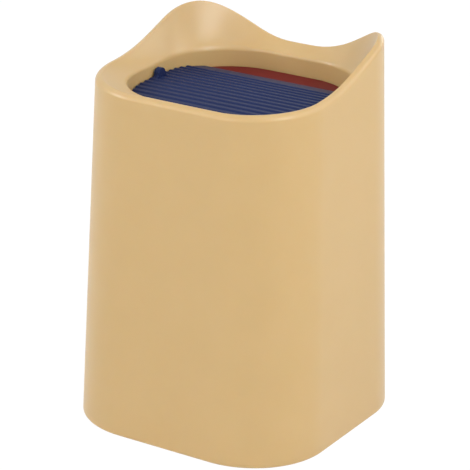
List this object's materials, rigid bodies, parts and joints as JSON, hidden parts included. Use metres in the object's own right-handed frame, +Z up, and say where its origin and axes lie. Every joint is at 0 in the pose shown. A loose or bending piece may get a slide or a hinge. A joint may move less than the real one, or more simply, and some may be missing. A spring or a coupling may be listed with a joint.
{
  "type": "countertop trash can with swing lid",
  "caption": "Tapered rounded-square countertop bin: open-bottomed outer shell with two raised rear corners, loose inner bucket and a ribbed swing lid on two pins.",
  "frame": {"origin": "middle of the footprint, on the surface that the bin stands on", "axes": "+Z up; the front is -Y and the two raised corners are at the rear, +Y; +X is to the right seen from the front; the lid swings about an axis along X"},
  "size_m": [0.14, 0.14, 0.2029],
  "materials": {
    "shell_plastic": "satin moulded polypropylene, warm sand yellow",
    "bucket_plastic": "matt moulded polypropylene, off-white",
    "lid_top_plastic": "satin moulded polypropylene, navy blue",
    "lid_base_plastic": "satin moulded polypropylene, dark red",
    "pin_steel": "bright zinc-plated steel",
    "foot_rubber": "matt black rubber"
  },
  "bodies": {
    "bucket": {"inner_bucket": "bucket_plastic", "foot_pads": "foot_rubber"},
    "shell": {"outer_shell": "shell_plastic"},
    "lid": {"ribbed_plate": "lid_top_plastic", "base_plate": "lid_base_plastic", "pivot_pin_left": "pin_steel", "pivot_pin_right": "pin_steel", "plate_screws": "pin_steel", "balance_weight": "pin_steel", "weight_screws": "pin_steel"}
  },
  "joints": [
    {"name": "shell_lift", "type": "slide", "parent": "bucket", "child": "shell", "axis": [0, 0, 1], "range_m": [0, 0.21]},
    {"name": "lid_swing", "type": "hinge", "parent": "shell", "child": "lid", "pos_m": [0, 0, 0.1748], "axis": [1, 0, 0], "range_deg": [-80, 80]}
  ]
}
